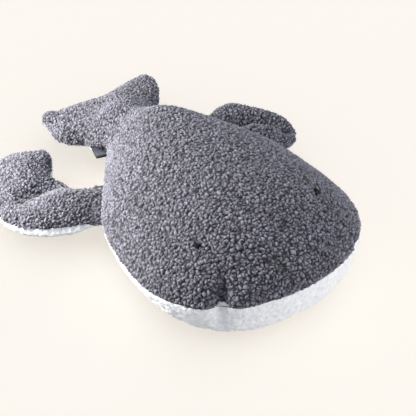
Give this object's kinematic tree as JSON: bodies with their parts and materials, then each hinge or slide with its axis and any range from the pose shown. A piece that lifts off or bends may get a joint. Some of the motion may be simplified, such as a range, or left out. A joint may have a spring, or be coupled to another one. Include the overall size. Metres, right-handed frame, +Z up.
{
  "type": "whale cushion",
  "caption": "Stuffed whale cushion with a looped grey back, a white belly, hooked flippers and a tail fluke that bend and spring back.",
  "frame": {"origin": "on the flat of the belly, on the middle plane of the body", "axes": "+Z up, -Y towards the nose, +X towards the whale's left"},
  "size_m": [0.4278, 0.494, 0.141],
  "materials": {
    "grey_boucle": "matt looped pile",
    "white_fleece": "matt short pile",
    "fibre_fill": "loose fibre",
    "grey_thread": "spun thread",
    "black_thread": "slightly glossy thread",
    "navy_tape": "woven tape"
  },
  "bodies": {
    "body": {"back_panel": "grey_boucle", "belly_panel": "white_fleece", "body_stuffing": "fibre_fill", "body_seam_thread": "grey_thread", "closing_stitch_thread": "grey_thread", "tail_seam_thread": "grey_thread", "right_eye": "black_thread", "right_dart_thread": "grey_thread", "left_eye": "black_thread", "left_dart_thread": "grey_thread"},
    "right_flipper": {"right_flipper_top": "grey_boucle", "right_flipper_bottom": "white_fleece", "right_flipper_stuffing": "fibre_fill", "right_flipper_seam_thread": "grey_thread"},
    "left_flipper": {"left_flipper_top": "grey_boucle", "left_flipper_bottom": "white_fleece", "left_flipper_stuffing": "fibre_fill", "left_flipper_seam_thread": "grey_thread"},
    "fluke": {"fluke_top": "grey_boucle", "fluke_bottom": "white_fleece", "fluke_stuffing": "fibre_fill", "fluke_seam_thread": "grey_thread"},
    "label": {"label_tape": "navy_tape"}
  },
  "joints": [
    {"name": "right_flipper_flap", "type": "hinge", "parent": "body", "child": "right_flipper", "pos_m": [-0.11017, 0.09271, 0.04656], "axis": [0.4598, 0.888, 0], "range_deg": [-4, 50], "stiffness_Nm_per_rad": 0.4},
    {"name": "left_flipper_flap", "type": "hinge", "parent": "body", "child": "left_flipper", "pos_m": [0.11017, 0.09271, 0.04656], "axis": [0.4598, -0.888, 0], "range_deg": [-9, 50], "stiffness_Nm_per_rad": 0.4},
    {"name": "tail_bend", "type": "hinge", "parent": "body", "child": "fluke", "pos_m": [0, 0.20804, 0.043], "axis": [1, 0, 0], "range_deg": [-25, 30], "stiffness_Nm_per_rad": 0.8},
    {"name": "label_flip", "type": "hinge", "parent": "body", "child": "label", "pos_m": [-0.04977, 0.18543, 0.04235], "axis": [0.6347, 0.7727, 0], "range_deg": [-50, 50], "stiffness_Nm_per_rad": 0.002}
  ]
}
